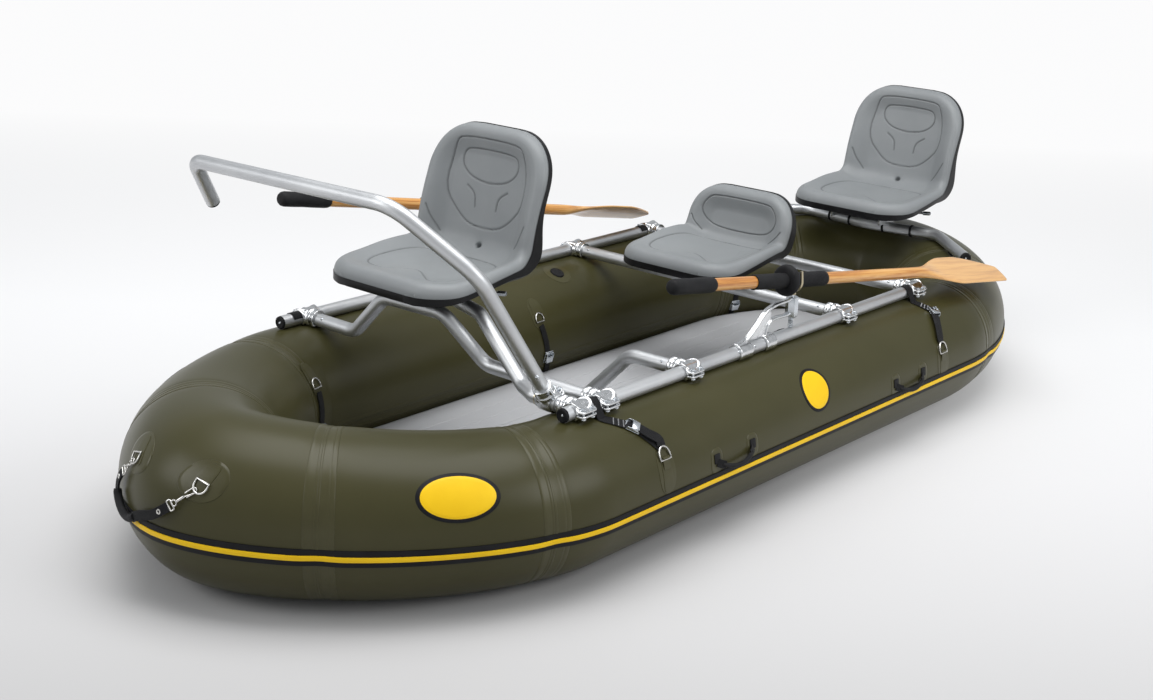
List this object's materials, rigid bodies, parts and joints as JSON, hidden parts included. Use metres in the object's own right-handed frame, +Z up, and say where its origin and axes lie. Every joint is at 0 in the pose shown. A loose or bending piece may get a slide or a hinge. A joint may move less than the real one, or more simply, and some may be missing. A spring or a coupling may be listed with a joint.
{
  "type": "fishing raft",
  "caption": "Inflatable fishing raft with a clamped tube frame, swivel seats, a rower's seat, casting brace, foot brace and oars in locks.",
  "frame": {"origin": "on the ground under the middle of the raft", "axes": "+X towards the bow, +Y to port, +Z up"},
  "size_m": [3.4949, 1.4504, 0.9735],
  "materials": {
    "air_skin": "olive coated fabric, satin",
    "floor_skin": "light grey coated fabric",
    "black_rubber": "matt black",
    "yellow_stripe": "satin yellow",
    "seat_vinyl": "grained grey",
    "seat_shell": "moulded black",
    "wood": "varnished",
    "webbing": "woven black",
    "cast_aluminium": "tumbled casting",
    "plated_steel": "zinc plated",
    "aluminium": "satin anodised tube"
  },
  "bodies": {
    "raft": {"bow_cell": "air_skin", "brace_coupler": "cast_aluminium", "floor_panel": "floor_skin", "foot_brace": "aluminium", "foot_brace_tee": "cast_aluminium", "front_crossbar": "aluminium", "front_crossbar_port_tee": "cast_aluminium", "front_crossbar_starboard_tee": "cast_aluminium", "front_port_handle": "webbing", "front_port_strap": "webbing", "front_seat_plate": "aluminium", "front_starboard_handle": "webbing", "front_starboard_strap": "webbing", "front_swivel_base": "plated_steel", "port_cell": "air_skin", "port_oarlock_stand": "cast_aluminium", "port_rail": "aluminium", "rear_crossbar": "aluminium", "rear_crossbar_port_tee": "cast_aluminium", "rear_crossbar_starboard_tee": "cast_aluminium", "rear_port_handle": "webbing", "rear_port_strap": "webbing", "rear_seat_bracket": "aluminium", "rear_seat_frame": "aluminium", "rear_starboard_handle": "webbing", "rear_starboard_strap": "webbing", "rear_swivel_base": "plated_steel", "rower_seat_cushion": "seat_vinyl", "rower_seat_plate": "aluminium", "rower_seat_shell": "seat_shell", "rub_strake": "black_rubber", "rub_strake_stripe": "yellow_stripe", "seat_crosstube": "aluminium", "seat_crosstube_port_tee": "cast_aluminium", "seat_crosstube_starboard_tee": "cast_aluminium", "seat_strut": "aluminium", "seat_strut_tee": "cast_aluminium", "starboard_cell": "air_skin", "starboard_oarlock_stand": "cast_aluminium", "starboard_rail": "aluminium", "stern_cell": "air_skin"},
    "front_seat": {"front_swivel_top": "plated_steel", "front_seat_shell": "seat_shell", "front_seat_cushion": "seat_vinyl"},
    "front_lever": {"front_swivel_lever": "plated_steel"},
    "rear_seat": {"rear_swivel_top": "plated_steel", "rear_seat_shell": "seat_shell", "rear_seat_cushion": "seat_vinyl"},
    "rear_lever": {"rear_swivel_lever": "plated_steel"},
    "lean_bar": {"casting_brace": "aluminium", "casting_brace_clamp": "cast_aluminium"},
    "port_lock": {"port_oarlock": "cast_aluminium"},
    "port_oar_body": {"port_oar": "wood", "port_oar_grip": "black_rubber", "port_oar_sleeve": "black_rubber"},
    "starboard_lock": {"starboard_oarlock": "cast_aluminium"},
    "starboard_oar_body": {"starboard_oar": "wood", "starboard_oar_grip": "black_rubber", "starboard_oar_sleeve": "black_rubber"},
    "bow_grab": {"bow_handle": "webbing"}
  },
  "joints": [
    {"name": "front_seat_swivel", "type": "hinge", "parent": "raft", "child": "front_seat", "pos_m": [0.718, -0.12, 0.55725], "axis": [0, 0, 1], "continuous": true},
    {"name": "front_lock_lever", "type": "hinge", "parent": "front_seat", "child": "front_lever", "pos_m": [0.6755, -0.03314, 0.55325], "axis": [0, 0, 1], "range_deg": [-15, 0], "stiffness_Nm_per_rad": 0.4},
    {"name": "rear_seat_swivel", "type": "hinge", "parent": "raft", "child": "rear_seat", "pos_m": [-1.375, -0.01, 0.47295], "axis": [0, 0, 1], "continuous": true},
    {"name": "rear_lock_lever", "type": "hinge", "parent": "rear_seat", "child": "rear_lever", "pos_m": [-1.4175, 0.07686, 0.46895], "axis": [0, 0, 1], "range_deg": [-15, 0], "stiffness_Nm_per_rad": 0.4},
    {"name": "casting_brace_fold", "type": "hinge", "parent": "raft", "child": "lean_bar", "pos_m": [0.852, 0.434, 0.40051], "axis": [0, 1, 0], "range_deg": [0, 40]},
    {"name": "port_oarlock_yaw", "type": "hinge", "parent": "raft", "child": "port_lock", "pos_m": [-0.072, 0.528, 0.559], "axis": [0, 0, -1], "range_deg": [0, 80]},
    {"name": "port_oar_tilt", "type": "hinge", "parent": "port_lock", "child": "port_oar_body", "pos_m": [-0.072, 0.528, 0.559], "axis": [0.0523, 0.9986, 0], "range_deg": [0, 12]},
    {"name": "starboard_oarlock_yaw", "type": "hinge", "parent": "raft", "child": "starboard_lock", "pos_m": [-0.072, -0.528, 0.585], "axis": [0, 0, 1], "range_deg": [0, 7]},
    {"name": "starboard_oar_tilt", "type": "hinge", "parent": "starboard_lock", "child": "starboard_oar_body", "pos_m": [-0.072, -0.528, 0.581], "axis": [0, 1, 0], "range_deg": [0, 10]},
    {"name": "bow_handle_swing", "type": "hinge", "parent": "raft", "child": "bow_grab", "pos_m": [1.68364, 0.00609, 0.32416], "axis": [0, -1, 0], "range_deg": [0, 90]}
  ]
}
